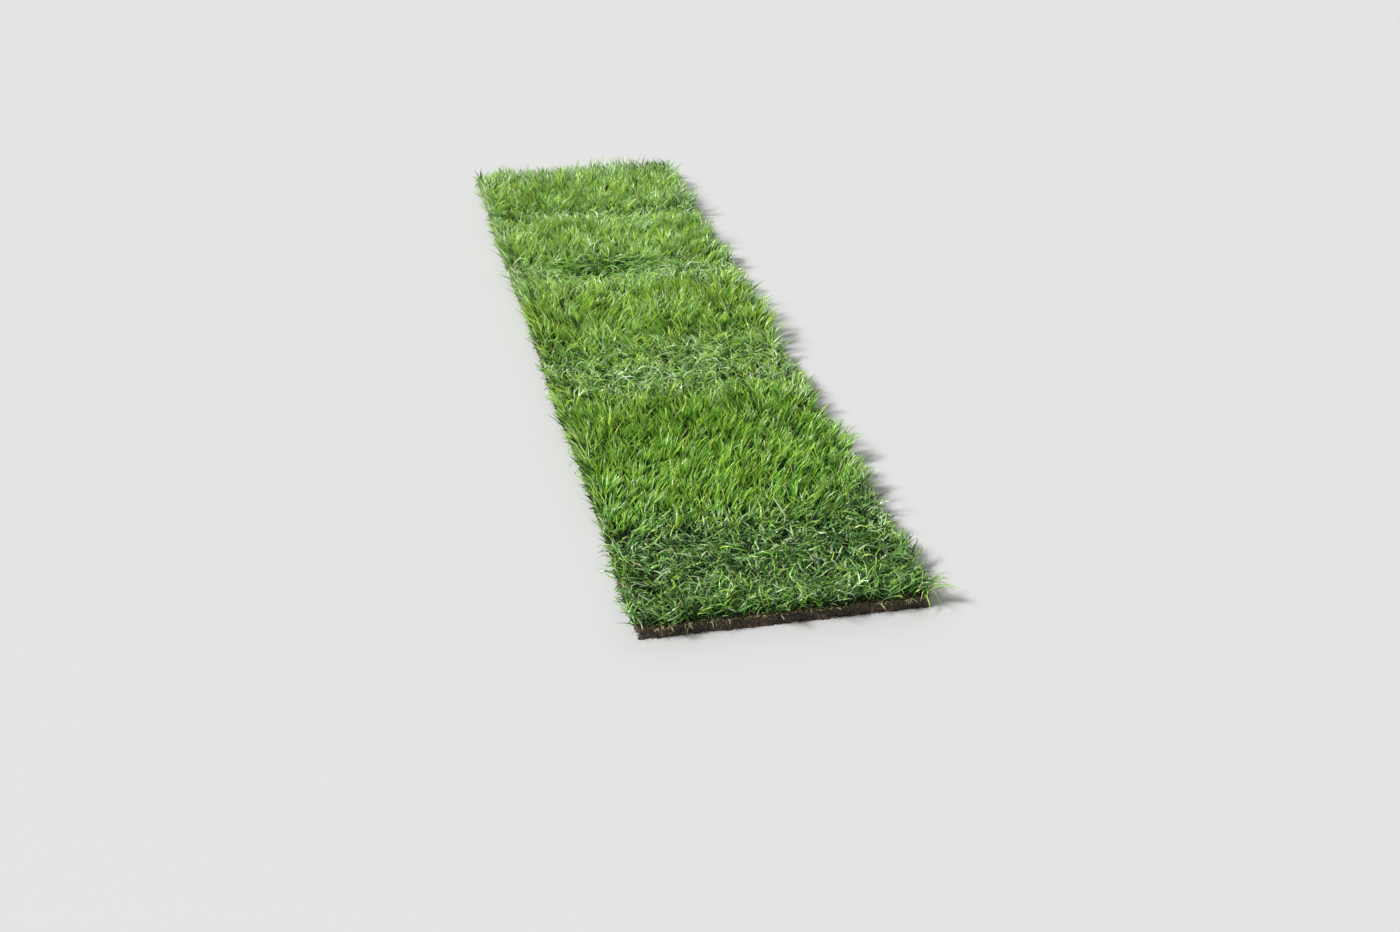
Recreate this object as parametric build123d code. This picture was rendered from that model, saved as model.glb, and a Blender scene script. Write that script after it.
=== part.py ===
from build123d import *
import math
import os
import random

# A strip of turf lying flat, as it is laid from its roll.
# It is a slab of soil bound by roots, sliced from the field, with the living grass growing out of it.
# Millimetres. X is across the strip, Y along it, Z up.
# The origin is the middle of the underside. The end at -Y was the outermost turn of the roll.

# The sliced slab, whose edges have crumbled away
strip_width = 457.0
strip_length = 2057.0
soil_thickness = 20.0
broken_top_edge = 3.0
broken_bottom_edge = 1.5

# The long edges drift a little, as the harvester that sliced them was steered.
# The drift is two waves: one that both edges share, and a shorter one that widens the strip and narrows it.
shared_drift = 2.1
width_drift = 0.9
shared_wavelength = 760.0
width_wavelength = 330.0
drift_points_per_wave = 6

# The grass, measured up from the top of the soil and out from its edges
standing_height = 54.0
pressed_height = 29.0
side_overhang = 17.0
end_overhang = 14.0

# The roll pressed the grass: its outermost turn, and the flattened grass wound up with each layer of soil
first_turn = 700.0
rolled_grass = 8.0

# The pressed bands: the first one's middle, their length as a share of a turn, how far the pressing fades out
# beyond that length, how level their middles are, and how much they slant across the strip
first_pressed_middle = 170.0
pressed_share = 0.42
pressed_fading = 1.5
pressed_levelness = 1.25
band_slant = 16.0

# The tufts: their spacing, the depth of the hollows between them, and how uneven they are
tuft_spacing = 34.0
hollow_depth = 0.34
tuft_unevenness = 0.16
tuft_lean = 6.0
uneven_seed = 7

# The fringe that leans out over the cut edges. Its steps go from its foot up to its shoulder:
# how much of the overhang, and how much of the grass's height, each one reaches
fringe_steps = [(0.0, 0.0), (1.0, 0.3), (0.6, 0.75)]
fringe_hollow = 0.35
fringe_unevenness = 0.2

half_width = strip_width / 2
half_length = strip_length / 2
turn_loss = 2 * math.pi * (soil_thickness + rolled_grass)


def pressed_bands():
    """(distance from the -Y end to the middle, length) of each band that the roll's own weight pressed flat."""
    bands = []
    middle, turn = first_pressed_middle, first_turn
    while middle < strip_length and turn > 0:
        bands.append((middle, pressed_share * turn))
        middle += turn
        turn -= turn_loss
    return bands


def pressed(x, y):
    """0 where the grass stands, 1 in the middle of a pressed band."""
    along = y + half_length + band_slant * math.sin(x / half_width)
    deepest = 0.0
    for middle, length in pressed_bands():
        reach = pressed_fading * length / 2
        away = min(1.0, abs(along - middle) / reach)
        deepest = max(deepest, math.cos(away * math.pi / 2) ** 2)
    return min(1.0, pressed_levelness * deepest)


def grass_height(x, y):
    """Height of the grass above the soil, before its tufts."""
    return standing_height - (standing_height - pressed_height) * pressed(x, y)


def drift(y, side):
    """How far a long edge strays outwards from its straight line at y."""
    shared = shared_drift * side * math.sin(2 * math.pi * y / shared_wavelength)
    return shared + width_drift * math.sin(2 * math.pi * y / width_wavelength)


def long_edge(side, inset):
    """The plan line of one long edge of the slab, from the -Y corner to the +Y corner."""
    steps = max(6, round(drift_points_per_wave * strip_length / width_wavelength))
    reach = half_length - inset
    places = [reach * (2 * i / steps - 1) for i in range(steps + 1)]
    return Spline([(side * (half_width - inset + drift(y, side)), y) for y in places])


def slab_outline(z, inset):
    """The slab's outline in plan at height z: drifting long edges and straight chopped ends."""
    with BuildSketch(Plane.XY.offset(z)) as outline:
        with BuildLine():
            left = long_edge(-1, inset)
            right = long_edge(1, inset)
            Line(left @ 0, right @ 0)
            Line(left @ 1, right @ 1)
        make_face()
    return outline.sketch


def soil_and_roots():
    """The sliced slab, with a flat underside and four broken edges."""
    levels = [
        (0.0, broken_bottom_edge),
        (broken_bottom_edge, 0.0),
        (soil_thickness - broken_top_edge, 0.0),
        (soil_thickness, broken_top_edge),
    ]
    return loft([slab_outline(z, inset) for z, inset in levels], ruled=True)


def skin_point(i, j, rows, columns, uneven):
    """A corner of the grass's skin: on its foot, on its fringe, or on a tuft or hollow further in."""
    ring = min(i, j, rows - i, columns - j, len(fringe_steps))
    across = 2 * (j - ring) / (columns - 2 * ring) - 1
    along = 2 * (i - ring) / (rows - 2 * ring) - 1
    hollow = (i + j + 1) % 2
    if ring == 0:
        side_reach = end_reach = -broken_top_edge
        rise = 0.0
    elif ring < len(fringe_steps):
        reach, rise = fringe_steps[ring]
        reach *= 1 - fringe_hollow * hollow + fringe_unevenness * uneven.uniform(-1, 1)
        side_reach, end_reach = reach * side_overhang, reach * end_overhang
    else:
        side_reach = end_reach = 0.0
        rise = (1 - hollow_depth * hollow) * (1 + tuft_unevenness * uneven.uniform(-1, 1))
    y = along * (half_length + end_reach)
    side = math.copysign(1, across)
    x = across * (half_width + side_reach + drift(y, side))
    height = rise * grass_height(x, y)
    if ring == len(fringe_steps):
        x += tuft_lean * uneven.uniform(-1, 1)
        y += tuft_lean * uneven.uniform(-1, 1)
    return Vector(x, y, soil_thickness + height)


def skin_facets(corner, rows, columns):
    """Two flat facets for each square of corners. They meet along a line of hollows, so each tuft is a peak."""
    facets = []
    for i in range(rows):
        for j in range(columns):
            a, b = corner[i, j], corner[i, j + 1]
            c, d = corner[i + 1, j + 1], corner[i + 1, j]
            halves = [(a, b, d), (b, c, d)] if (i + j) % 2 else [(a, b, c), (a, c, d)]
            facets += [Face(Wire.make_polygon(half)) for half in halves]
    return facets


def grass():
    """The grass as one soft body: standing and pressed bands, tufts, and a fringe that leans out over the cut edges."""
    uneven = random.Random(uneven_seed)
    rows = 2 * round(strip_length / tuft_spacing / 2) + 2 * len(fringe_steps)
    columns = 2 * round(strip_width / tuft_spacing) + 2 * len(fringe_steps)
    corner = {
        (i, j): skin_point(i, j, rows, columns, uneven)
        for i in range(rows + 1)
        for j in range(columns + 1)
    }
    foot = [corner[0, j] for j in range(columns)]
    foot += [corner[i, columns] for i in range(rows)]
    foot += [corner[rows, j] for j in range(columns, 0, -1)]
    foot += [corner[i, 0] for i in range(rows, 0, -1)]
    underside = Face(Wire.make_polygon(foot))
    return Solid(Shell(skin_facets(corner, rows, columns) + [underside]))


os.makedirs("parts", exist_ok=True)
export_step(soil_and_roots(), "parts/soil_and_roots.step")
export_step(grass(), "parts/grass.step")
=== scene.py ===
import math
from types import SimpleNamespace
import bmesh
import bpy
import numpy as np
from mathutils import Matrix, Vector, noise
from mathutils.bvhtree import BVHTree


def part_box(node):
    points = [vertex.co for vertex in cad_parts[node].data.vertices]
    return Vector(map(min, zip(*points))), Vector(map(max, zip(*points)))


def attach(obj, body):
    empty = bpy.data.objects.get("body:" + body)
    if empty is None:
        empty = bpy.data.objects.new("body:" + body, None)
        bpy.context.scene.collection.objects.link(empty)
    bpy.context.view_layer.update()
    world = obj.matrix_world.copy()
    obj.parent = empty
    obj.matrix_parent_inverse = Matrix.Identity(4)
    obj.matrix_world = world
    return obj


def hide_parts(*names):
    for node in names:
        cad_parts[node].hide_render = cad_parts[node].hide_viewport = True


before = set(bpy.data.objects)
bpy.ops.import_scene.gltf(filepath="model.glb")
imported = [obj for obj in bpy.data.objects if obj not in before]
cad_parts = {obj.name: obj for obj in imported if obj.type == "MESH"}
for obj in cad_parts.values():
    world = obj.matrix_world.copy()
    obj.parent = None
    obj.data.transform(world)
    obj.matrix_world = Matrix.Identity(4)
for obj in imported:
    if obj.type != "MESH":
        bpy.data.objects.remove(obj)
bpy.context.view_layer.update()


# The view: standing beside the strip's cut end and looking down along it.
# The camera's height follows from the strip's width, and its lens from where the strip's edges vanish.
camera_place = Vector((-0.691, -3.602, 1.627))
camera_lens = 52.56
camera_sensor = 36.0
look_down = math.radians(27.03)
look_right = math.radians(12.17)

camera_data = bpy.data.cameras.new("camera")
camera_data.lens = camera_lens
camera_data.sensor_width = camera_sensor
camera = bpy.data.objects.new("camera", camera_data)
camera.location = camera_place
camera.rotation_euler = (math.pi / 2 - look_down, 0.0, -look_right)
bpy.context.scene.collection.objects.link(camera)
bpy.context.scene.camera = camera


# The light: a soft even sky, a little brighter beyond the far end, and one broad soft light high up on the
# left. Together they light a level white surface to a little over 1, so that colours show about as written.
sky_overhead = 0.26
sky_level = 0.15
sky_beyond = 0.45
key_from = Vector((-1.0, -0.28, 1.05))
key_width = math.radians(13.0)
key_strength = 3.5
backdrop_white = 0.76

world = bpy.data.worlds.new("sky")
world.use_nodes = True
sky = world.node_tree
sky_light = sky.nodes["Background"]
aim = sky.nodes.new("ShaderNodeTexCoord")
aim_parts = sky.nodes.new("ShaderNodeSeparateXYZ")
upward = sky.nodes.new("ShaderNodeMapRange")
upward.inputs["To Min"].default_value = sky_level
upward.inputs["To Max"].default_value = sky_overhead
beyond = sky.nodes.new("ShaderNodeMapRange")
beyond.inputs["To Max"].default_value = sky_beyond
brightness = sky.nodes.new("ShaderNodeMath")
seen = sky.nodes.new("ShaderNodeBackground")
seen.inputs["Color"].default_value = (backdrop_white, backdrop_white, backdrop_white, 1.0)
path = sky.nodes.new("ShaderNodeLightPath")
shows = sky.nodes.new("ShaderNodeMixShader")
for source, target in (
    (aim.outputs["Generated"], aim_parts.inputs[0]),
    (aim_parts.outputs["Z"], upward.inputs["Value"]),
    (aim_parts.outputs["Y"], beyond.inputs["Value"]),
    (upward.outputs["Result"], brightness.inputs[0]),
    (beyond.outputs["Result"], brightness.inputs[1]),
    (brightness.outputs[0], sky_light.inputs["Strength"]),
    (path.outputs["Is Camera Ray"], shows.inputs["Fac"]),
    (sky_light.outputs["Background"], shows.inputs[1]),
    (seen.outputs["Background"], shows.inputs[2]),
    (shows.outputs["Shader"], sky.nodes["World Output"].inputs["Surface"]),
):
    sky.links.new(source, target)
sky_light.inputs["Color"].default_value = (1.0, 1.0, 1.0, 1.0)
bpy.context.scene.world = world
bpy.context.scene.view_settings.view_transform = "Standard"

key_data = bpy.data.lights.new("soft_key", "SUN")
key_data.angle = key_width
key_data.energy = key_strength
key = bpy.data.objects.new("soft_key", key_data)
key.rotation_euler = key_from.to_track_quat("Z", "Y").to_euler()
bpy.context.scene.collection.objects.link(key)


# The floor is plain, pale and matt, and the strip lies right on it.
# It shows in the same tone as the sky behind it, so that they meet without a line.
floor_size = 40.0
floor_white = 0.70
floor_roughness = 0.9

floor_mesh = bpy.data.meshes.new("floor")
floor_plan = bmesh.new()
bmesh.ops.create_grid(floor_plan, x_segments=1, y_segments=1, size=floor_size / 2)
floor_plan.to_mesh(floor_mesh)
floor = bpy.data.objects.new("floor", floor_mesh)
bpy.context.scene.collection.objects.link(floor)
floor_paint = bpy.data.materials.new("pale_floor")
floor_paint.use_nodes = True
floor_finish = floor_paint.node_tree.nodes["Principled BSDF"]
floor_finish.inputs["Base Color"].default_value = (floor_white, floor_white, floor_white, 1.0)
floor_finish.inputs["Roughness"].default_value = floor_roughness
floor_mesh.materials.append(floor_paint)


# The slab is topsoil bound by roots, sliced from the field by a flat steel blade and chopped square at its
# ends. Its faces are moist crumbs and fibre, nearly flat as they were cut, with edges broken by handling.
top_cell = 0.012
wall_cell = 0.003
wall_rows = 7
upright_wall = (0.001, 0.018)

# The relief of its faces: lumps, crumbs on them, chips off the foot, and the broken rim. A reach is the share
# of the slab's height over which the chips or the broken rim fade out.
lump_size = 0.011
lump_relief = 0.0016
lump_hollow = 0.4
crumb_size = 0.0024
crumb_relief = 0.0011
crumb_shift = Vector((7, 3, 1))
chip_size = 0.014
chip_layer = 4.0
chip_depth = 0.0040
chip_depth_reach = 0.35
chip_rise = 0.0026
chip_rise_reach = 0.5
broken_rim = 0.0028
broken_rim_reach = 0.2
most_proud = 0.0012
top_roughness = 0.0014
top_lumps = 0.6
top_sink = 0.0010
foot_roughness = 0.0006

loam_colours = (0.017, 0.013, 0.010), (0.088, 0.070, 0.053), (0.190, 0.152, 0.115)
fibre_colour = (0.170, 0.132, 0.088)
grain_colour = (0.36, 0.31, 0.25)

soil_low, soil_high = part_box("soil_and_roots")
slab_width, slab_length = soil_high.x - soil_low.x, soil_high.y - soil_low.y
soil_points = np.array([v.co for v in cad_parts["soil_and_roots"].data.vertices])
full_width = (soil_points[:, 2] > upright_wall[0]) & (soil_points[:, 2] < upright_wall[1])


def slab_edge(side, y):
    """Where the sliced slab's long edge is at y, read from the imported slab."""
    line = soil_points[full_width & (soil_points[:, 0] * side > 0)]
    line = line[np.argsort(line[:, 1])]
    return np.interp(y, line[:, 1], line[:, 0])


def new_piece(name, mesh, material, slot, *nodes):
    """Links a finished mesh as a piece of the strip, in its material. slot is not used."""
    mesh.materials.append(material)
    piece = bpy.data.objects.new(name, mesh)
    bpy.context.scene.collection.objects.link(piece)
    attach(piece, "root")
    if nodes:
        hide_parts(*nodes)
    return piece


def divided(block, axis, cuts):
    """Cuts the block's edges that run along one axis."""
    run = [e for e in block.edges if abs((e.verts[0].co - e.verts[1].co)[axis]) > 0.99 * e.calc_length()]
    bmesh.ops.subdivide_edges(block, edges=run, cuts=cuts, use_grid_fill=True)


def rough(spot, smoothness, octaves):
    """Random relief at a spot: lumps about 1 apart, and on them finer ones, each octave half the size."""
    return noise.fractal(spot, smoothness, 2.0, octaves)


def outermost(at):
    """-1 or 1 on the outer faces of a block 1 wide, and 0 between them."""
    return 0.0 if abs(at) < 0.4999 else math.copysign(1, at)


def crumbled(place, side_out, end_out, up):
    """A point of the slab's surface, moved as crumbly soil is. up runs from 0 at the slab's foot to 1."""
    lump = rough(place / lump_size, 1.0, 3)
    crumb = rough(place / crumb_size + crumb_shift, 0.9, 3)
    if side_out or end_out:
        chip = max(0.0, rough(Vector((place.x / chip_size, place.y / chip_size, chip_layer)), 0.8, 2))
        inward = lump_relief * (lump_hollow + lump) + crumb_relief * crumb
        inward += (
            broken_rim * max(0.0, up - (1 - broken_rim_reach)) / broken_rim_reach
            + chip_depth * chip * max(0.0, chip_depth_reach - up) / chip_depth_reach
        )
        inward = max(inward, -most_proud)
        place.x -= side_out * inward
        place.y -= end_out * inward
        place.z += chip_rise * chip * max(0.0, chip_rise_reach - up) / chip_rise_reach
    elif up > 0.5:
        place.z += top_roughness * (crumb + top_lumps * lump) - top_sink
    else:
        place.z += foot_roughness * max(0.0, crumb)
    place.z = max(place.z, soil_low.z)
    return place


def soil_slab():
    """The slab: a block cut into cells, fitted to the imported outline, then roughened."""
    size = soil_high - soil_low
    slab = bmesh.new()
    bmesh.ops.create_cube(slab, size=1.0)
    divided(slab, 0, round(size.x / top_cell) - 1)
    divided(slab, 1, round(size.y / top_cell) - 1)
    divided(slab, 2, wall_rows - 1)
    level = [
        e for e in slab.edges
        if abs(e.verts[0].co.z - e.verts[1].co.z) < 1e-6 and any(abs(f.normal.z) < 0.5 for f in e.link_faces)
    ]
    bmesh.ops.subdivide_edges(slab, edges=level, cuts=round(top_cell / wall_cell) - 1, use_grid_fill=True)
    for v in slab.verts:
        side_out, end_out = outermost(v.co.x), outermost(v.co.y)
        up = v.co.z + 0.5
        y = soil_low.y + (v.co.y + 0.5) * size.y
        left, right = slab_edge(-1, y), slab_edge(1, y)
        place = Vector((left + (v.co.x + 0.5) * (right - left), y, soil_low.z + up * size.z))
        v.co = crumbled(place, side_out, end_out, up)
    bmesh.ops.recalc_face_normals(slab, faces=slab.faces)
    mesh = bpy.data.meshes.new("soil_slab")
    slab.to_mesh(mesh)
    mesh.shade_smooth()
    return mesh


def add_node(tree, kind, **settings):
    """A shader node with its settings and its unlinked sockets filled in."""
    made = tree.nodes.new("ShaderNode" + kind)
    for name, value in settings.items():
        if hasattr(made, name):
            setattr(made, name, value)
        else:
            made.inputs[name.replace("_", " ")].default_value = value
    return made


def ramp(tree, source, *stops):
    """A colour ramp over source, through (place, colour) stops. A number stands for a grey."""
    made = tree.nodes.new("ShaderNodeValToRGB")
    bands = made.color_ramp.elements
    while len(bands) < len(stops):
        bands.new(1.0)
    for band, (place, colour) in zip(bands, stops):
        band.position = place
        band.color = (*colour, 1.0) if isinstance(colour, tuple) else (colour, colour, colour, 1.0)
    tree.links.new(source, made.inputs["Fac"])
    return made.outputs["Color"]


def mixed(tree, factor, first, second, blend="MIX"):
    """One colour mixed with another, by a number or by a socket."""
    made = tree.nodes.new("ShaderNodeMix")
    made.data_type = "RGBA"
    made.blend_type = blend
    for socket, value in ((made.inputs[0], factor), (made.inputs[6], first), (made.inputs[7], second)):
        if isinstance(value, bpy.types.NodeSocket):
            tree.links.new(value, socket)
        else:
            socket.default_value = value if isinstance(value, float) else (*value, 1.0)
    return made.outputs[2]


def loam():
    """Moist loam: dark crumbs with paler dry ones, sand grains, and fine fibres that lie along the cut."""
    material = bpy.data.materials.new("moist_loam")
    material.use_nodes = True
    tree = material.node_tree
    finish = tree.nodes["Principled BSDF"]
    where = tree.nodes.new("ShaderNodeTexCoord").outputs["Object"]
    patches = add_node(tree, "TexNoise", Scale=28.0, Detail=4.0)
    crumbs = add_node(tree, "TexNoise", Scale=260.0, Detail=6.0, Roughness=0.65)
    grains = add_node(tree, "TexVoronoi", Scale=520.0)
    flat = add_node(tree, "Mapping", Scale=(1.0, 1.0, 9.0))
    fibres = add_node(tree, "TexNoise", Scale=95.0, Detail=5.0, Distortion=1.2)
    for texture in (patches, crumbs, grains, flat):
        tree.links.new(where, texture.inputs["Vector"])
    tree.links.new(flat.outputs["Vector"], fibres.inputs["Vector"])
    body = ramp(tree, crumbs.outputs["Fac"], *zip((0.32, 0.52, 0.70), loam_colours))
    dry = ramp(tree, patches.outputs["Fac"], (0.40, (0.60, 0.60, 0.61)), (0.62, (1.20, 1.18, 1.15)))
    body = mixed(tree, 1.0, body, dry, "MULTIPLY")
    thread = ramp(tree, fibres.outputs["Fac"], (0.60, 0.0), (0.72, 0.50))
    body = mixed(tree, thread, body, fibre_colour)
    speck = ramp(tree, grains.outputs["Distance"], (0.05, 1.0), (0.12, 0.0))
    rare = ramp(tree, grains.outputs["Color"], (0.90, 0.0), (0.94, 1.0))
    speck = mixed(tree, 1.0, speck, rare, "MULTIPLY")
    body = mixed(tree, speck, body, grain_colour)
    tree.links.new(body, finish.inputs["Base Color"])
    damp = ramp(tree, patches.outputs["Fac"], (0.35, 0.68), (0.65, 0.95))
    tree.links.new(damp, finish.inputs["Roughness"])
    finish.inputs["Specular IOR Level"].default_value = 0.3
    relief = mixed(tree, 0.4, crumbs.outputs["Fac"], fibres.outputs["Fac"])
    bump = add_node(tree, "Bump", Strength=0.7, Distance=0.0015)
    tree.links.new(relief, bump.inputs["Height"])
    tree.links.new(bump.outputs["Normal"], finish.inputs["Normal"])
    return material


moist_loam = loam()
new_piece("soil_slab", soil_slab(), moist_loam, "soil", "soil_and_roots")


# The crumbs: small clods of the same loam, which the chopping and the handling left clinging to the cut
# faces. Most of them sit along the foot, on their face or just off it.
crumb_count = 1100
crumb_radius = (0.0007, 0.0021)
crumb_standing_out = 0.35
crumb_lumps = 1.7
crumb_lumpiness = 0.35
crumb_stretch = (0.7, 1.25)
crumb_sinking = 2.2

chance = np.random.default_rng(11)
noise.seed_set(5)


def wall_places(count, low, high):
    """Random places on the slab's four cut faces, with the way out of the face at each, as an angle."""
    half_round = slab_length + slab_width
    run = chance.uniform(0, 2 * half_round, count)
    places, outward = np.zeros((count, 3)), np.zeros(count)
    places[:, 2] = chance.uniform(low, high, count)
    for i, at in enumerate(run):
        second_half, at = at > half_round, at % half_round
        if at < slab_length:
            y = soil_low.y + at
            places[i, :2] = slab_edge(1 if second_half else -1, y), y
            outward[i] = 0.0 if second_half else math.pi
        else:
            y = soil_high.y if second_half else soil_low.y
            left, right = slab_edge(-1, y), slab_edge(1, y)
            places[i, :2] = left + (at - slab_length) / slab_width * (right - left), y
            outward[i] = math.pi / 2 if second_half else -math.pi / 2
    return places, outward


def as_arrays(shape):
    """A small bmesh as its points and its triangles."""
    points = np.array([v.co for v in shape.verts])
    triangles = np.array([[v.index for v in f.verts] for f in shape.faces])
    shape.free()
    return points, triangles


def joined(name, triangles, laid):
    """One mesh of many copies of a shape. laid holds each copy's points."""
    count, points = laid.shape[:2]
    faces = (triangles[None] + points * np.arange(count)[:, None, None]).reshape(-1, 3)
    mesh = bpy.data.meshes.new(name)
    mesh.from_pydata(laid.reshape(-1, 3), [], faces)
    mesh.shade_smooth()
    return mesh, faces


def clods(name, count):
    """Many copies of one rough clod, each turned and stretched its own way, close to a cut face."""
    clod = bmesh.new()
    bmesh.ops.create_icosphere(clod, subdivisions=1, radius=1.0)
    for v in clod.verts:
        v.co *= 1 + crumb_lumpiness * noise.noise(v.co * crumb_lumps)
    points, triangles = as_arrays(clod)
    places, outward = wall_places(count, 0.0, 1.0)
    radius = chance.uniform(*crumb_radius, count)
    room = soil_high.z - soil_low.z - 3 * radius
    places[:, 2] = soil_low.z + radius + room * places[:, 2] ** crumb_sinking
    places[:, 0] += np.cos(outward) * radius * crumb_standing_out
    places[:, 1] += np.sin(outward) * radius * crumb_standing_out
    turns = np.linalg.qr(chance.normal(size=(count, 3, 3)))[0]
    turns[:, :, 0] *= np.linalg.det(turns)[:, None]
    stretch = radius[:, None] * chance.uniform(*crumb_stretch, (count, 3))
    laid = places[:, None] + np.einsum("cij,cpj->cpi", turns, points[None] * stretch[:, None])
    laid[:, :, 2] = np.maximum(laid[:, :, 2], soil_low.z)
    return joined(name, triangles, laid)[0]


new_piece("soil_crumbs", clods("soil_crumbs", crumb_count), moist_loam, "soil")


# The grass is a ryegrass and meadow-grass sward. Each leaf rises from a crown at the soil and bends over.
# All are copies of one blade, folded along its rib and drawn to a point, each bent on a curve of its own.
low_rows = (0.0, 0.55, 1.0)
short_rows = (0.0, 0.30, 0.62, 0.88, 1.0)
long_rows = (0.0, 0.18, 0.40, 0.62, 0.84, 1.0)
blade_fold = 0.34
blade_width = (0.0028, 0.0006)
width_limits = (0.5, 1.5)
sheath_width = 0.55
sheath_widening = 2.2
taper_lateness = 2.4
point_bluntness = 0.8
crook_start = 0.4
crook_reach = 0.25
least_wander = 0.4
crook_wander = 0.5
twist_spread = 0.8
trim = (0.2715, 1.078)
floor_gap = 0.0008

# Each blade takes its colours from one cell of a square palette. Its columns are the leaf's colours, and its
# rows are shades of them, three for each of four depths of painted shade, for the neighbours' shade.
palette = 12
shades = 3
cell_margin = 0.08
warm, cool, pale, straw = (0.0, 0.499), (0.50, 0.749), (0.75, 0.916), 0.96
# How far up a blade the painted shade reaches, for the least and the most shaded rows.
painted_shade_reach = (0.20, 2.8)
vein_rate = 62.0
leaf_gloss = 0.80
see_through = 0.35

# Three ways of bending: nodding at the tip, arching all along, and laid over from the base. A blade's lean
# from upright is its own bend times start + gain * s ** power. s runs from 0 at its root to 1 at its tip.
bend_start = np.array([0.25, 0.45, 0.70])
bend_gain = np.array([1.50, 1.20, 0.75])
bend_power = np.array([1.6, 1.0, 0.6])
bends = np.linspace(0.0, 1.9, 60)
middles = (np.arange(24) + 0.5) / 24
bend_rises = [
    np.cos(bends[:, None] * (start + gain * middles**power)).mean(axis=1)
    for start, gain, power in zip(bend_start, bend_gain, bend_power)
]


def bend_for(way, rise):
    """How hard a blade bends for its tip to be at rise, as a share of its length."""
    bend = np.zeros(len(rise))
    for k, rises in enumerate(bend_rises):
        own = way == k
        bend[own] = np.interp(-rise[own], -rises, bends)
    return bend


def unit_blade(rows):
    """A blade 1 wide and 1 tall, folded along its rib: narrow at the sheath, even, then drawn to a point."""
    blade = bmesh.new()
    bmesh.ops.create_grid(blade, x_segments=2, y_segments=len(rows) - 1, size=0.5)
    for v in blade.verts:
        along = rows[round((v.co.y + 0.5) * (len(rows) - 1))]
        across = v.co.x * min(1.0, sheath_width + sheath_widening * along)
        across *= max(0.0, 1 - along**taper_lateness) ** point_bluntness
        v.co = Vector((across, blade_fold * abs(across), along))
    bmesh.ops.remove_doubles(blade, verts=blade.verts, dist=1e-4)
    bmesh.ops.triangulate(blade, faces=blade.faces)
    return as_arrays(blade)


def leaf_tones(brightness, coolness, pale_share, straw_share=0.0):
    """The palette places of leaves of a brightness from 0 to 1. coolness is the share of cool greens."""
    n = len(brightness)
    kind, share = chance.uniform(size=n), np.clip(brightness, 0, 1)
    cooler, warmer = np.interp(share, (0, 1), cool), np.interp(share, (0, 1), warm)
    tone = np.where(kind < coolness, cooler, warmer)
    tone = np.where(chance.uniform(size=n) < pale_share, chance.uniform(*pale, n), tone)
    return np.where(chance.uniform(size=n) < straw_share, straw, tone)


def grown(name, unit, sprouts, material, slot="grass", node="grass"):
    """Joins many copies of a unit blade, each bent on its own curve. sprouts holds an array for each value.
    The few blades that would reach out past the trim are left out."""
    points, triangles = unit
    count, across = len(sprouts["root"]), points[:, 0]
    way, heights = sprouts["way"], np.unique(points[:, 2])
    spine, side, face = [], [], []
    place, before = sprouts["root"].copy(), 0.0

    def direction(at):
        """Which way each blade points at a share of its length, and its heading there."""
        crooked = np.clip((at - crook_start) / crook_reach, 0, 1)
        lean = sprouts["bend"] * (bend_start[way] + bend_gain[way] * at ** bend_power[way])
        turn = sprouts["heading"] + sprouts["wander"] * at + sprouts["crook"] * crooked
        return np.stack([np.sin(lean) * np.cos(turn), np.sin(lean) * np.sin(turn), np.cos(lean)], 1), turn

    for height in heights:
        place = place + direction((before + height) / 2)[0] * (sprouts["length"] * (height - before))[:, None]
        along, turn = direction(height)
        level = np.stack([-np.sin(turn), np.cos(turn), np.zeros(count)], 1)
        out = np.cross(level, along)
        roll = (sprouts["roll"] + sprouts["twist"] * height)[:, None]
        spine.append(place)
        side.append(level * np.cos(roll) + out * np.sin(roll))
        face.append(out * np.cos(roll) - level * np.sin(roll))
        before = height
    row = np.searchsorted(heights, points[:, 2])
    spine, side, face = (np.stack(each, 1)[:, row] for each in (spine, side, face))
    width = sprouts["width"][:, None, None]
    laid = spine + side * across[:, None] * width + face * points[:, 1, None] * width
    laid[:, :, 2] = np.maximum(laid[:, :, 2], soil_low.z + floor_gap)
    kept = (np.abs(laid[:, :, :2]) < trim).all(axis=(1, 2))
    mesh, faces = joined(name, triangles, laid[kept])
    inner = np.stack([across + 0.5, points[:, 2]], 1) * (1 - 2 * cell_margin) + cell_margin
    blade_uv = (sprouts["cell"][kept][:, None, :] + inner[None]) / palette
    corners = blade_uv.reshape(-1, 2)[faces.ravel()].astype(np.float32).ravel()
    for layer in ("blade", "OFBake"):
        mesh.uv_layers.new(name=layer).uv.foreach_set("vector", corners)
    return new_piece(name, mesh, material, slot, node)


def sprouted(root, heading, length, rise, tone, depth, ways, width=blade_width, crook=0.2, roll=0.7):
    """The values of blades at these roots. tone picks a blade's colour, from 0 to 1, and depth how deep its
    painted shade is, for the shade of its neighbours, from 0 to 3. ways gives the shares of the three ways
    of bending."""
    n = len(root)
    way = chance.choice(3, n, p=ways)
    row = shades * depth + chance.integers(0, shades, n)
    return {
        "root": root,
        "heading": heading,
        "wander": chance.normal(0, 1, n) * (least_wander + crook_wander * crook),
        "crook": chance.normal(0, 1, n) * crook,
        "way": way,
        "bend": bend_for(way, rise),
        "length": length,
        "width": np.clip(chance.normal(*width, n), width_limits[0] * width[0], width_limits[1] * width[0]),
        "roll": chance.normal(0, 1, n) * roll,
        "twist": chance.normal(0, twist_spread, n),
        "cell": np.stack([np.floor(np.clip(tone, 0, 0.999) * palette), row], 1),
    }


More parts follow.
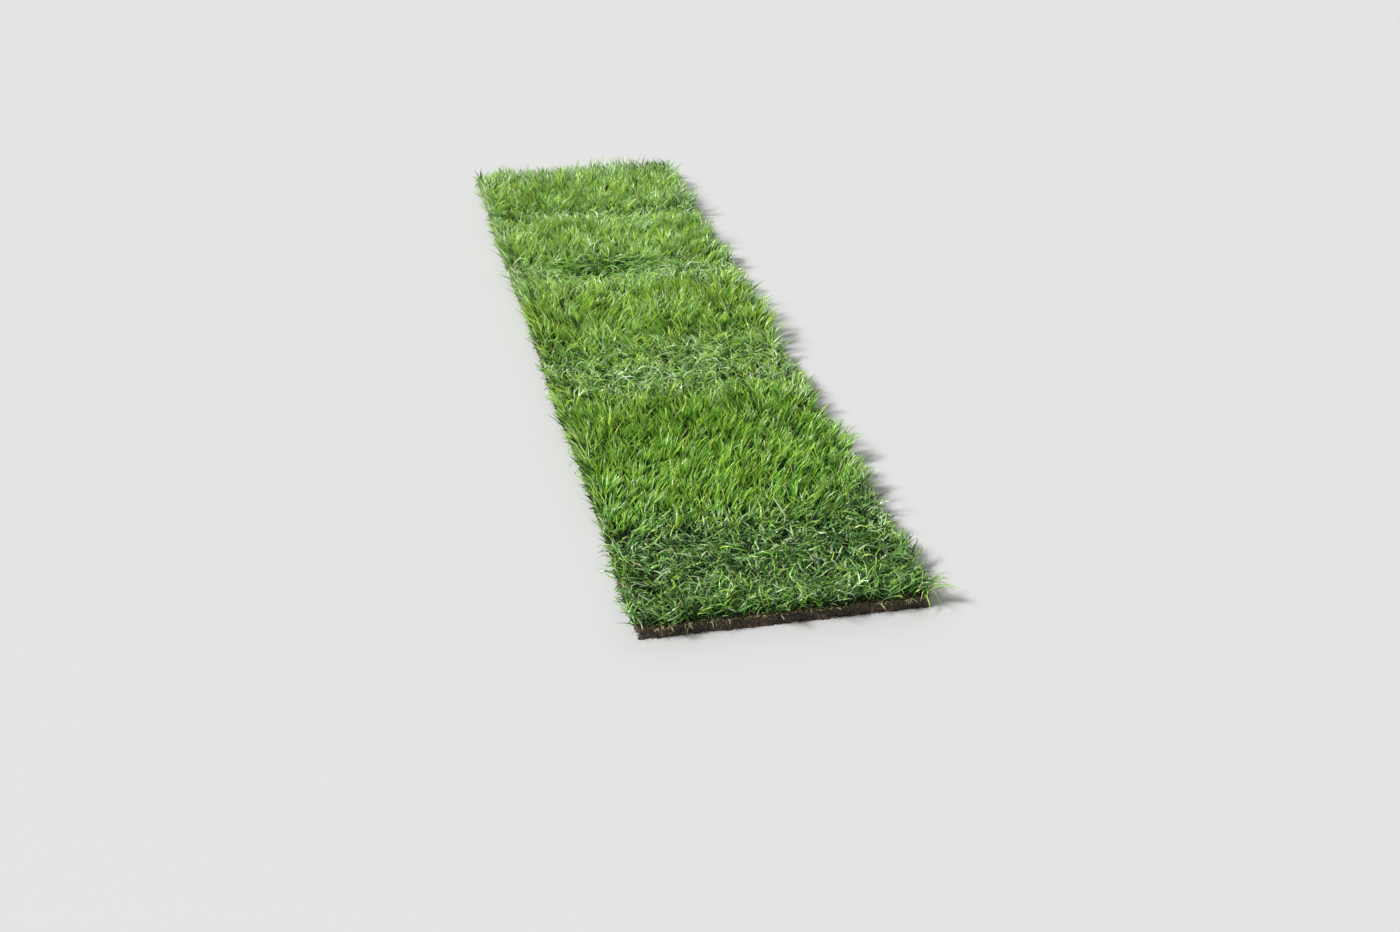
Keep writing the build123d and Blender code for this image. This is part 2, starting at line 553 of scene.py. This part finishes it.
def blade_material(name, bodies, tip, rib, least_shade, most_shade):
    """A blade's finish. The palette's columns run through the bodies, and its rows are shades and depths of
    painted shade.
    """
    material = bpy.data.materials.new(name)
    material.use_nodes = True
    tree = material.node_tree
    finish = tree.nodes["Principled BSDF"]
    spread = add_node(tree, "VectorMath", operation="SCALE")
    spread.inputs["Scale"].default_value = palette
    tree.links.new(add_node(tree, "UVMap", uv_map="blade").outputs["UV"], spread.inputs[0])
    cell = add_node(tree, "VectorMath", operation="FLOOR")
    within = add_node(tree, "VectorMath", operation="FRACTION")
    cell_at = tree.nodes.new("ShaderNodeSeparateXYZ")
    at = tree.nodes.new("ShaderNodeSeparateXYZ")
    for taken, split in ((cell, cell_at), (within, at)):
        tree.links.new(spread.outputs[0], taken.inputs[0])
        tree.links.new(taken.outputs[0], split.inputs[0])
    column = add_node(tree, "MapRange", From_Max=palette - 1.0)
    tree.links.new(cell_at.outputs["X"], column.inputs["Value"])
    body = ramp(tree, column.outputs["Result"], *bodies)
    shade = add_node(tree, "TexWhiteNoise", noise_dimensions="2D")
    tree.links.new(cell.outputs[0], shade.inputs["Vector"])
    lift = ramp(tree, shade.outputs["Value"], (0.0, least_shade), (1.0, most_shade))
    body = mixed(tree, 1.0, body, lift, "MULTIPLY")
    end = ramp(tree, at.outputs["Y"], (0.50, 0.0), (0.92, 0.50))
    body = mixed(tree, end, body, tip)
    middle = ramp(tree, at.outputs["X"], (0.40, 0.0), (0.50, 0.30), (0.60, 0.0))
    body = mixed(tree, middle, body, rib)
    # Painted shade: each row's depth darkens the blade from its foot up, towards near black, for the shade of
    # the blades around it. Even the least shaded rows are darkened at the very foot.
    deep = add_node(tree, "MapRange", From_Min=shades - 1.0, From_Max=palette - 1.0)
    deep.inputs["To Min"].default_value, deep.inputs["To Max"].default_value = painted_shade_reach
    tree.links.new(cell_at.outputs["Y"], deep.inputs["Value"])
    out_of_painted_shade = tree.nodes.new("ShaderNodeMapRange")
    tree.links.new(at.outputs["Y"], out_of_painted_shade.inputs["Value"])
    tree.links.new(deep.outputs["Result"], out_of_painted_shade.inputs["From Max"])
    painted_shade = ramp(
        tree, out_of_painted_shade.outputs["Result"], (0.0, (0.008, 0.022, 0.006)), (0.42, (0.075, 0.155, 0.052)),
        (0.70, (0.62, 0.74, 0.54)), (0.88, 1.0),
    )
    body = mixed(tree, 1.0, body, painted_shade, "MULTIPLY")
    tree.links.new(body, finish.inputs["Base Color"])
    lines = add_node(tree, "Math", operation="MULTIPLY")
    lines.inputs[1].default_value = vein_rate
    veins = add_node(tree, "Math", operation="SINE")
    tree.links.new(at.outputs["X"], lines.inputs[0])
    tree.links.new(lines.outputs[0], veins.inputs[0])
    shine = ramp(tree, veins.outputs[0], (0.0, 0.21), (1.0, 0.33))
    dull = ramp(tree, out_of_painted_shade.outputs["Result"], (0.35, 1.0), (0.80, 0.0))
    tree.links.new(mixed(tree, dull, shine, (0.90, 0.90, 0.90)), finish.inputs["Roughness"])
    finish.inputs["Specular IOR Level"].default_value = leaf_gloss
    through = tree.nodes.new("ShaderNodeBsdfTranslucent")
    tree.links.new(body, through.inputs["Color"])
    both = tree.nodes.new("ShaderNodeMixShader")
    both.inputs["Fac"].default_value = see_through
    tree.links.new(finish.outputs["BSDF"], both.inputs[1])
    tree.links.new(through.outputs["BSDF"], both.inputs[2])
    tree.links.new(both.outputs["Shader"], tree.nodes["Material Output"].inputs["Surface"])
    return material


grass_leaf = blade_material(
    "grass_leaf",
    (
        (0 / 11, (0.050, 0.240, 0.050)),
        (2 / 11, (0.220, 0.700, 0.040)),
        (4 / 11, (0.460, 0.960, 0.050)),
        (5 / 11, (0.680, 1.000, 0.120)),
        (6 / 11, (0.030, 0.210, 0.060)),
        (7 / 11, (0.150, 0.600, 0.110)),
        (8 / 11, (0.380, 0.950, 0.190)),
        (9 / 11, (0.500, 0.920, 0.370)),
        (10 / 11, (0.770, 1.000, 0.640)),
        (11 / 11, (0.680, 0.600, 0.320)),
    ),
    tip=(0.660, 0.960, 0.240),
    rib=(0.500, 0.860, 0.220),
    least_shade=(0.36, 0.42, 0.34),
    most_shade=(1.24, 1.10, 1.16),
)
low_blade = unit_blade(low_rows)
short_blade = unit_blade(short_rows)
long_blade = unit_blade(long_rows)


# The standing bands: between the turns of the roll the grass was free, and it has sprung up again. It grows
# in tufts about 15 mm apart, whose blades are 40 to 60 mm long, fan out and lean one way together. Along the
# two long edges they lean out over the cut.
tuft_spacing = 0.0155
tuft_jitter = 0.36
blades_per_tuft = (11, 16)
crown_spread = 0.0030
root_depth = 0.0015
root_inset = 0.004
tuft_pull = 0.65
pull_variation = (0.6, 1.4)
tuft_reaches = (0.66, 1.06)
tuft_tones = 0.14
standing_ways = (0.55, 0.30, 0.15)
standing_width = (0.0030, 0.0006)
standing_curl = 0.5

# The sward drifts: clumps of tufts lean and grow alike, and the pressed bands have patchy, wandering edges.
# Where a finer and a wider drift add up, the lesser of the two counts for less.
sway_size = 0.055
drift_size = 0.16
lesser_drift = 0.6
lean_drift = 0.7
clump_pull = 1.9
clump_height = 0.22
edge_warp = 0.065
patchiness = 0.42
height_shift = 0.012

# The near end is pressed and weathered. About 1.4 m on, the blades of a small hollow lie combed sideways.
# Towards the far end the leaves get brighter and paler, a painted sheen, and more of them are spared the
# painted shade; at its very rim they are paler still.
end_flatness = 0.80
end_reach = 0.30
end_fading = 0.10
weathered_end = 0.60
weathered_fading = 0.25
whorl_middle = (-0.025, 1.42)
whorl_reach = (0.125, 0.060)
whorl_pull = 2.4
whorl_parting = 1.6
whorl_sweep = -0.6
whorl_flatness = (0.35, 0.90)
combed_longer = 0.25
far_sheen_start = 0.66
far_sheen_rise = 0.85
pale_rim = 1.93
margin_start = 0.203
margin_fading = 0.020
margin_pull = 1.1
margin_flatness = 0.45

# Some blades are low ones. A blade's height is a share of its tuft's height, and its length follows from the
# share of it that a free or a laid blade rises.
low_share = 0.3
low_reach = (0.4, 0.7)
blade_reach = (0.82, 1.04)
free_height = (0.80, 0.98)
laid_height = (0.32, 0.72)
length_limits = (0.026, 0.064)
rise_limits = (0.08, 0.985)

# The leaves' brightness and the shares of cool and of pale ones, with what is added for the kinds of places.
# depth_shares gives the shares of the tall blades at the first three depths of painted shade; the open shares
# are for the blades spared it towards the far end.
# The far term brightens the leaves towards the far end: a painted sheen.
leaf_brightness = {
    "mean": 0.70, "spread": 0.27, "pressed_spread": 0.7, "clump": 0.22, "drift": 0.12,
    "far": 0.60, "swept": -0.20, "pressed": 0.12, "weathered": -0.20,
}
cool_leaves = {"mean": 0.10, "pressed": 0.22, "weathered": 0.36, "swept": 0.50}
# In the pressed bands the pale leaves are partly paler undersides and partly painted glints; towards the far
# end they are a painted sheen.
pale_leaves = {
    "mean": 0.05, "pressed": 0.50, "weathered": -0.10, "far": 0.38, "far_swept": -0.5,
    "rim": 0.65, "margin": 0.28,
}
sward_straws = 0.012
depth_shares = {"pressed": (0.40, 0.23, 0.37), "standing": (0.52, 0.40, 0.08), "open": (0.84, 0.14, 0.02)}
# Towards the far end more blades are spared painted shade, as a painted sheen: the standing ones only from
# this start, and those in the combed hollow less.
shade_sparing_start = 0.55
shade_sparing_rise = 0.35
swept_closed = 0.8
sward_crook = 0.15
sward_roll = 0.7
pressed_roll = -0.25

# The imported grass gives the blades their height, and its mean height along the strip the pressed bands.
skin_reach = np.array([0.22, 1.02])
band_steps = 104
band_columns = 19
band_half_width = 0.18
band_smoothing = 5

grass_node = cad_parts["grass"].data
grass_skin = BVHTree.FromPolygons(
    [v.co for v in grass_node.vertices], [p.vertices[:] for p in grass_node.polygons]
)
soil_top = soil_high.z


def grass_top(x, y):
    """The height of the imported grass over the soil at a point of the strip."""
    above = Vector((*np.clip((x, y), -skin_reach, skin_reach), 1.0))
    return grass_skin.ray_cast(above, Vector((0, 0, -1)))[0].z - soil_top


along_bins = np.linspace(soil_low.y, soil_high.y, band_steps)
across_bins = np.linspace(-band_half_width, band_half_width, band_columns)
band_height = np.array([np.mean([grass_top(x, y) for x in across_bins]) for y in along_bins])
band_height = np.pad(band_height, band_smoothing // 2, mode="edge")
band_height = np.convolve(band_height, np.ones(band_smoothing) / band_smoothing, mode="valid")
lowest_band, highest_band = band_height.min(), band_height.max()


def sway(x, y, size, layer):
    """A smooth random vector that changes over size."""
    return noise.noise_vector(Vector((x / size, y / size, layer)))


def tufts():
    """The tufts' places, on rows set half a step apart and then jittered."""
    places = []
    rows = round((slab_length - 2 * root_inset) / (tuft_spacing * math.sqrt(0.75)))
    ys = np.linspace(soil_low.y + root_inset, soil_high.y - root_inset, rows)
    for i, y in enumerate(ys):
        left, right = slab_edge(-1, y) + root_inset, slab_edge(1, y) - root_inset
        xs = np.arange(left + (i % 2) * tuft_spacing / 2, right, tuft_spacing)
        jitter = chance.uniform(-tuft_jitter, tuft_jitter, (len(xs), 2)) * tuft_spacing
        x, y = np.clip(xs + jitter[:, 0], left, right), np.clip(y + jitter[:, 1], ys[0], ys[-1])
        places.append(np.column_stack([x, y]))
    return np.concatenate(places)


def in_whorl(x, y):
    """1 in the middle of the hollow where the blades lie combed sideways, falling to 0 at its rim."""
    across = (x - whorl_middle[0]) / whorl_reach[0]
    along = (y - soil_low.y - whorl_middle[1]) / whorl_reach[1]
    return max(0.0, 1 - math.hypot(across, along) ** 2)


def tuft_fields(places):
    """For each tuft: the grass's height, how flat it is pressed, and the slow drift of its lean and tone."""
    fields = []
    for x, y in places:
        near, wide = sway(x, y, sway_size, 0.0), sway(x, y, drift_size, 5.0)
        warped = y + edge_warp * (wide.x + lesser_drift * near.x)
        flat = (highest_band - np.interp(warped, along_bins, band_height)) / (highest_band - lowest_band)
        flat -= patchiness * max(0.0, near.z + lesser_drift * wide.z)
        top = grass_top(x + height_shift * near.y, y + height_shift * near.z)
        lean = np.array([near.x + lean_drift * wide.x, near.y + lean_drift * wide.y])
        flat = max(flat, end_flatness * min(1.0, (end_reach - (y - soil_low.y)) / end_fading))
        combed = in_whorl(x, y)
        if combed:
            parting = np.array([whorl_parting * (x - whorl_middle[0]) / whorl_reach[0], whorl_sweep])
            lean += whorl_pull / clump_pull * min(1.0, 2 * combed) * parting
            flat = max(flat, min(whorl_flatness[1], whorl_flatness[0] + combed))
        fields.append((top, flat, *lean, near.z, wide.z, combed))
    return np.array(fields)


tuft_places = tufts()
tuft_field = tuft_fields(tuft_places)
tuft_lean = chance.uniform(0, 2 * math.pi, len(tuft_places))
tuft_tone = chance.normal(0, tuft_tones, len(tuft_places))
tuft_reach = chance.uniform(*tuft_reaches, len(tuft_places))


def surroundings(tuft):
    """What each blade's place does to it. tuft holds the number of the tuft that each blade grows in."""
    top, flat, sway_x, sway_y, near, wide, combed = tuft_field[tuft].T
    across, from_near = tuft_places[tuft, 0], tuft_places[tuft, 1] - soil_low.y
    return SimpleNamespace(
        tuft=tuft,
        top=top,
        flat=np.clip(flat, 0, 1),
        sway_x=sway_x,
        sway_y=sway_y,
        near=near,
        wide=wide,
        side=np.sign(across),
        margin=np.clip((np.abs(across) - margin_start) / margin_fading, 0, 1),
        swept=np.minimum(1.0, 2 * combed),
        outer=np.clip((weathered_end - from_near) / weathered_fading, 0, 1),
        far_sheen=np.clip((from_near - far_sheen_start) / far_sheen_rise, 0, 1),
        rim=np.clip((from_near - pale_rim) / (slab_length - pale_rim), 0, 1),
    )


def blade_headings(at):
    """Which way each blade leans: fanned out, pulled with its tuft and clump, and outwards at the margins."""
    n, lean = len(at.tuft), tuft_lean[at.tuft]
    fan = chance.uniform(0, 2 * math.pi, n)
    pull = tuft_pull * chance.uniform(*pull_variation, n)
    outward = margin_pull * at.margin * at.side
    return np.arctan2(
        np.sin(fan) + pull * np.sin(lean) + clump_pull * at.sway_y,
        np.cos(fan) + pull * np.cos(lean) + clump_pull * at.sway_x + outward,
    )


def blade_lengths(at, low):
    """Each blade's length, and how high its tip is as a share of that length."""
    n = len(low)
    reach = at.top * tuft_reach[at.tuft] * (1 + clump_height * at.near)
    reach *= np.where(low, chance.uniform(*low_reach, n), 1.0)
    reach *= chance.uniform(*blade_reach, n)
    free, laid = chance.uniform(*free_height, n), chance.uniform(*laid_height, n)
    high = free + (laid - free) * np.maximum(at.flat, margin_flatness * at.margin)
    length = np.clip(reach / high, *length_limits) * (1 + combed_longer * at.swept)
    return length, np.clip(reach / length, *rise_limits)


def spared_painted_shade(at):
    """Which blades are spared most painted shade: more of them towards the far end, as a painted sheen."""
    pressed_share = (1 - swept_closed * at.swept) * at.far_sheen / shade_sparing_rise
    standing_share = (at.far_sheen - shade_sparing_start) / shade_sparing_rise
    return chance.uniform(size=len(at.tuft)) < np.where(at.flat > 0.5, pressed_share, standing_share)


def sward_tones(at):
    """Each blade's place in the palette."""
    spread = chance.normal(0, leaf_brightness["spread"], len(at.tuft))
    bright = (
        leaf_brightness["mean"]
        + spread * (1 + leaf_brightness["pressed_spread"] * at.flat)
        + tuft_tone[at.tuft]
        + leaf_brightness["drift"] * at.wide
        + leaf_brightness["clump"] * at.near
        + leaf_brightness["far"] * at.far_sheen
        + leaf_brightness["swept"] * at.swept
        + (leaf_brightness["pressed"] + leaf_brightness["weathered"] * at.outer) * at.flat
    )
    coolness = (
        cool_leaves["mean"]
        + at.flat * (cool_leaves["pressed"] + cool_leaves["weathered"] * at.outer)
        + cool_leaves["swept"] * at.swept
    )
    paleness = (
        pale_leaves["mean"]
        + (pale_leaves["pressed"] + pale_leaves["weathered"] * at.outer) * at.flat * (1 - at.swept)
        + pale_leaves["far"] * at.far_sheen**2 * (1 + pale_leaves["far_swept"] * at.swept)
        + pale_leaves["rim"] * at.rim
        + pale_leaves["margin"] * at.margin
    )
    return leaf_tones(bright, coolness, paleness, sward_straws)


def sward_depths(at, low, spared_shade):
    """How deep each blade's painted shade is, for the shade of its neighbours; the spared ones get less."""
    among_pressed, among_standing, among_open = (
        chance.choice(3, len(low), p=depth_shares[kind]) for kind in ("pressed", "standing", "open")
    )
    shaded = np.where(at.flat > 0.5, among_pressed, among_standing)
    return np.where(low, 3 - spared_shade, np.where(spared_shade, among_open, shaded))


def chosen(sprouts, kept):
    """Some of the sprouts: those that kept marks or lists."""
    return {name: values[kept] for name, values in sprouts.items()}


def tuft_blades(picked, ways, width, curl):
    """The tall and the low blades of the picked tufts. curl is how sharply the pressed ones are crooked."""
    per_tuft = chance.integers(*blades_per_tuft, picked.sum(), endpoint=True)
    at = surroundings(np.repeat(np.flatnonzero(picked), per_tuft))
    n = len(at.tuft)
    root = np.zeros((n, 3))
    root[:, :2] = tuft_places[at.tuft] + chance.normal(0, crown_spread, (n, 2))
    root[:, 2] = soil_top - root_depth
    heading = blade_headings(at)
    low = chance.uniform(size=n) < low_share
    length, rise = blade_lengths(at, low)
    spared_shade = spared_painted_shade(at)
    tone = sward_tones(at)
    depth = sward_depths(at, low, spared_shade)
    crook = sward_crook + curl * at.flat * (1 - at.swept)
    roll = sward_roll + pressed_roll * at.flat
    blades = sprouted(root, heading, length, rise, tone, depth, ways, width, crook, roll)
    return chosen(blades, ~low), chosen(blades, low)


def in_parts(sprouts, count):
    """Splits the sprouts into parts of about the same number, in order along the strip."""
    order = np.argsort(sprouts["root"][:, 1])
    for part in np.array_split(order, count):
        yield chosen(sprouts, part)


is_pressed = tuft_field[:, 1] > 0.5
standing, standing_low = tuft_blades(~is_pressed, standing_ways, standing_width, standing_curl)
for number, part in enumerate(in_parts(standing, 3), 1):
    grown(f"standing_grass_{number}", short_blade, part, grass_leaf)


# The pressed bands: each turn of the roll bore on the grass under it once, and laid it flat in swirls.
# It is a mat of bent blades that cross each other, with undersides and dark gaps showing. Its pale leaves are
# partly paler undersides and partly painted glints, and painted shade darkens its gaps.
pressed_ways = (0.35, 0.25, 0.40)
pressed_width = (0.0029, 0.0008)
pressed_curl = 1.5

pressed, pressed_low = tuft_blades(is_pressed, pressed_ways, pressed_width, pressed_curl)
for number, part in enumerate(in_parts(pressed, 2), 1):
    grown(f"pressed_grass_{number}", long_blade, part, grass_leaf)


# The undergrowth: short young leaves at the foot of the tufts, in the shade of the others.
# They mostly carry the deepest painted shade, nearly black-green, and show dark between the longer leaves.
grown("undergrowth_standing", low_blade, standing_low, grass_leaf)
grown("undergrowth_pressed", low_blade, pressed_low, grass_leaf)


# The long leaves: here and there one has outgrown the sward, and arches thin over its neighbours. Most
# are pale, as a painted glint along them.
# Each rises from the middle of a tuft.
long_leaf_count = 420
long_leaf_length = (0.040, 0.062)
long_leaf_width = (0.0023, 0.0004)
long_leaf_reach = (0.85, 1.10)
long_leaf_rise = (0.1, 0.95)
long_leaf_ways = (0.4, 0.6, 0.0)
long_leaf_crook = 0.4
long_leaf_brightness = 0.9
long_leaf_coolness = 0.3
# The share of pale long leaves: a painted glint.
long_leaf_glint_share = 0.7


def long_leaves(count):
    """The values of the long leaves, each in a tuft of its own."""
    tuft = chance.choice(len(tuft_places), count, replace=False)
    root = np.column_stack([tuft_places[tuft], np.full(count, soil_top)])
    length = chance.uniform(*long_leaf_length, count)
    reach = tuft_field[tuft, 0] * chance.uniform(*long_leaf_reach, count)
    rise = np.clip(reach / length, *long_leaf_rise)
    heading = chance.uniform(0, 2 * math.pi, count)
    tone = leaf_tones(np.full(count, long_leaf_brightness), long_leaf_coolness, long_leaf_glint_share)
    unshaded = np.zeros(count, int)
    return sprouted(
        root, heading, length, rise, tone, unshaded, long_leaf_ways, long_leaf_width, long_leaf_crook
    )


grown("long_leaves", long_blade, long_leaves(long_leaf_count), grass_leaf)


# The fringe: along the long edges the blades lean out of the sward and hang over the cut soil, nearly to the
# ground. At the two chopped ends they only nod over the edge, so that the near end shows its soil.
fringe_spacing = 0.0016
fringe_inset = (0.0025, 0.013)
fringe_scatter = 1.1
fringe_brightness = (0.66, 0.26)
fringe_straws = 0.03
fringe_ways = (0.50, 0.40, 0.10)
fringe_crook = 0.6
ragged_size = 0.040
raggedness = 0.9
ragged_limits = (0.5, 1.3)
level_length = 0.60

# droop is the height of the tips as a share of a blade's length, and shading the shares of the four depths of
# painted shade, deeper at the chopped ends.
side_fringe = {
    "droop": (-0.60, 0.92),
    "lengths": (0.021, 0.041),
    "shading": (0.38, 0.40, 0.16, 0.06),
    "coolness": 0.22,
    "paleness": 0.36,
}
end_fringe = {
    "droop": (0.40, 0.95),
    "lengths": (0.024, 0.040),
    "shading": (0.10, 0.28, 0.36, 0.26),
    "coolness": 0.60,
}
near_paleness = 0.14
far_paleness = 0.55


def side_places(side, spacing, insets):
    """Random places just inside a long edge of the slab, one for every spacing of its length."""
    count = round(slab_length / spacing)
    y = chance.uniform(soil_low.y + root_inset, soil_high.y - root_inset, count)
    return np.column_stack([slab_edge(side, y) - side * chance.uniform(*insets, count), y])


def end_places(end, inward, spacing, insets):
    """Random places just inside a chopped end of the slab, one for every spacing of its width."""
    count = round(slab_width / spacing)
    x = chance.uniform(slab_edge(-1, end) + root_inset, slab_edge(1, end) - root_inset, count)
    return np.column_stack([x, end + inward * chance.uniform(*insets, count)])


def fringe(name, places, outward, droop, lengths, shading, coolness, paleness):
    """Blades that lean out over an edge, in ragged tufts. outward is the way out of the slab. coolness and
    paleness are the shares of cool and of pale leaves."""
    n = len(places)
    ragged = np.array([1 + raggedness * sway(x, y, ragged_size, 12.0).x for x, y in places])
    root = np.column_stack([places, np.full(n, soil_top - root_depth)])
    tone = leaf_tones(chance.normal(*fringe_brightness, n), coolness, paleness, fringe_straws)
    rise = chance.uniform(*droop, n)
    length = chance.uniform(*lengths, n) * np.clip(ragged, *ragged_limits)
    length *= level_length + (1 - level_length) * np.abs(rise)
    heading = outward + chance.normal(0, fringe_scatter, n)
    depth = chance.choice(4, n, p=shading)
    blades = sprouted(root, heading, length, rise, tone, depth, fringe_ways, crook=fringe_crook)
    grown(name, long_blade, blades, grass_leaf)


fringe("fringe_left", side_places(-1, fringe_spacing, fringe_inset), math.pi, **side_fringe)
fringe("fringe_right", side_places(1, fringe_spacing, fringe_inset), 0.0, **side_fringe)
fringe(
    "fringe_near", end_places(soil_low.y, 1, fringe_spacing, fringe_inset), -math.pi / 2,
    paleness=near_paleness, **end_fringe,
)
fringe(
    "fringe_far", end_places(soil_high.y, -1, fringe_spacing, fringe_inset), math.pi / 2,
    paleness=far_paleness, **end_fringe,
)


# The crowns: at the cut ends and edges the bases of the shoots are bared, in a low rim of pale sheaths, cut
# stubs and dead brown thatch between the soil and the green.
side_stub_spacing = 0.0018
end_stub_spacing = 0.0005625
stub_inset = (0.0004, 0.0060)
stub_depth = 0.0035
stub_kind = {
    "scatter": 0.9,
    "length": (0.005, 0.014),
    "rise": (0.15, 0.95),
    "tone": (0.0, 0.8),
    "ways": (0.2, 0.4, 0.4),
    "width": (0.0015, 0.0004),
    "crook": 0.2,
}

thatch = blade_material(
    "sheaths_and_thatch",
    (
        (0.0, (0.060, 0.040, 0.024)),
        (0.25, (0.190, 0.125, 0.070)),
        (0.50, (0.560, 0.420, 0.200)),
        (0.75, (0.940, 0.870, 0.520)),
        (1.0, (0.800, 0.920, 0.560)),
    ),
    tip=(0.780, 0.680, 0.380),
    rib=(0.620, 0.550, 0.310),
    least_shade=(0.70, 0.70, 0.70),
    most_shade=(1.10, 1.08, 1.05),
)


def sticking_out(root, outward, kind):
    """The values of unshaded blades or threads that point out of the soil, drawn as their kind says."""
    n = len(root)
    heading = outward + chance.normal(0, kind["scatter"], n)
    length, rise, tone = (chance.uniform(*kind[value], n) for value in ("length", "rise", "tone"))
    return sprouted(
        root, heading, length, rise, tone, np.zeros(n, int), kind["ways"], kind["width"], kind["crook"]
    )


def stubs(name, places, outward):
    """Short stiff sheaths and dead ends that poke up and out of the rim."""
    root = np.column_stack([places, np.full(len(places), soil_top - stub_depth)])
    grown(name, short_blade, sticking_out(root, outward, stub_kind), thatch)


stubs("crowns_left", side_places(-1, side_stub_spacing, stub_inset), math.pi)
stubs("crowns_right", side_places(1, side_stub_spacing, stub_inset), 0.0)
stubs("crowns_near", end_places(soil_low.y, 1, end_stub_spacing, stub_inset), -math.pi / 2)
stubs("crowns_far", end_places(soil_high.y, -1, end_stub_spacing, stub_inset), math.pi / 2)


# The straws: where the chop tore a tuft apart, its bleached sheaths stick out of the end face, a few
# together. Each cluster has its place, as a share of the end's width, and its number of straws.
cluster_places = (0.07, 0.10, 0.17, 0.25, 0.31, 0.48, 0.66, 0.83, 0.93)
cluster_straws = (7, 6, 8, 5, 3, 4, 3, 4, 7)
cluster_spread = 0.0035
straw_inset = 0.0015
straw_height = (-0.0035, 0.0010)
straw_kind = {
    "scatter": 0.8,
    "length": (0.010, 0.019),
    "rise": (-0.60, 0.45),
    "tone": (0.66, 0.95),
    "ways": (0.0, 0.3, 0.7),
    "width": (0.0018, 0.0003),
    "crook": 0.1,
}


def torn_straws(name, end, inward):
    """The clusters of straws at one end. inward is the way from that end into the slab."""
    share = np.repeat(cluster_places, cluster_straws)
    count, left, right = len(share), slab_edge(-1, end), slab_edge(1, end)
    x = left + share * (right - left) + chance.normal(0, cluster_spread, count)
    y = np.full(count, end + straw_inset * inward)
    root = np.column_stack([x, y, chance.uniform(*straw_height, count) + soil_top])
    grown(name, short_blade, sticking_out(root, -inward * math.pi / 2, straw_kind), thatch)


torn_straws("straws_near", soil_low.y, 1)
torn_straws("straws_far", soil_high.y, -1)


# The roots: fine pale and brown rootlets that bind the slab. Where it is cut, their ends hang out of its
# faces, outwards and down.
rootlet_count = 900
rootlet_height = (0.002, 0.018)
rootlet_bury = 0.0020
rootlet_kind = {
    "scatter": 0.8,
    "length": (0.006, 0.016),
    "rise": (-0.75, 0.10),
    "tone": (0.15, 0.72),
    "ways": (0.0, 0.0, 1.0),
    "width": (0.00048, 0.00012),
    "crook": 0.8,
}
thread_rows = 3
thread_end = 0.6


def unit_thread(rows):
    """A thread 1 thick and 1 tall, with three sides."""
    thread = bmesh.new()
    bmesh.ops.create_cone(thread, segments=3, radius1=0.5, radius2=thread_end / 2, depth=1.0, cap_ends=True)
    bmesh.ops.translate(thread, vec=(0, 0, 0.5), verts=thread.verts)
    run = [e for e in thread.edges if abs(e.verts[0].co.z - e.verts[1].co.z) > 0.5]
    bmesh.ops.subdivide_edges(thread, edges=run, cuts=rows - 1, use_grid_fill=True)
    for v in thread.verts:
        v.co.z = round(v.co.z, 4)
    bmesh.ops.triangulate(thread, faces=thread.faces)
    return as_arrays(thread)


rootlet_places, rootlet_outward = wall_places(rootlet_count, *rootlet_height)
rootlet_places[:, 0] -= np.cos(rootlet_outward) * rootlet_bury
rootlet_places[:, 1] -= np.sin(rootlet_outward) * rootlet_bury
rootlets = sticking_out(rootlet_places, rootlet_outward, rootlet_kind)
grown("rootlets", unit_thread(thread_rows), rootlets, thatch, "soil", "soil_and_roots")


# The strays: long blades that were wound in with the roll, and the pale sheaths they grow from. They spread
# from the strip's near right corner, out over the floor and down over the cut face.
stray_leaf_count = 11
stray_sheath_count = 14
stray_heading = {"down": (-1.3, 0.4), "out": (0.0, 0.42)}
stray_rise = {"down": (-0.50, -0.10), "out": (0.0, 0.42)}
stray_length = {"down": (0.040, 0.060), "out": (0.038, 0.068)}
stray_width = (0.0019, 0.0004)
stray_ways = (0.5, 0.5, 0.0)
stray_places = (-0.010, 0.002), (-0.002, 0.014)
stray_leaf_brightness = 0.9
stray_leaf_coolness = 0.2
stray_leaf_paleness = 0.6
stray_sheath_tone = (0.72, 1.0)

corner_place = np.array([slab_edge(1, soil_low.y), soil_low.y])


def strays(name, tone, material):
    """Blades rooted at the corner, one for each tone. Two in three reach out and the others hang down."""
    count = len(tone)
    down = np.arange(count) % 3 == 2

    def either(draw, values):
        """Random values, from one range for the blades that hang down and from another for the rest."""
        return np.where(down, draw(*values["down"], count), draw(*values["out"], count))

    around = corner_place + chance.uniform(*stray_places, (count, 2))
    root = np.column_stack([around, np.full(count, soil_top)])
    heading = either(chance.normal, stray_heading)
    rise = either(chance.uniform, stray_rise)
    length = either(chance.uniform, stray_length)
    blades = sprouted(root, heading, length, rise, tone, np.zeros(count, int), stray_ways, stray_width)
    grown(name, long_blade, blades, material)


stray_leaf_tones = leaf_tones(
    np.full(stray_leaf_count, stray_leaf_brightness), stray_leaf_coolness, stray_leaf_paleness
)
strays("stray_leaves", stray_leaf_tones, grass_leaf)
strays("stray_sheaths", chance.uniform(*stray_sheath_tone, stray_sheath_count), thatch)
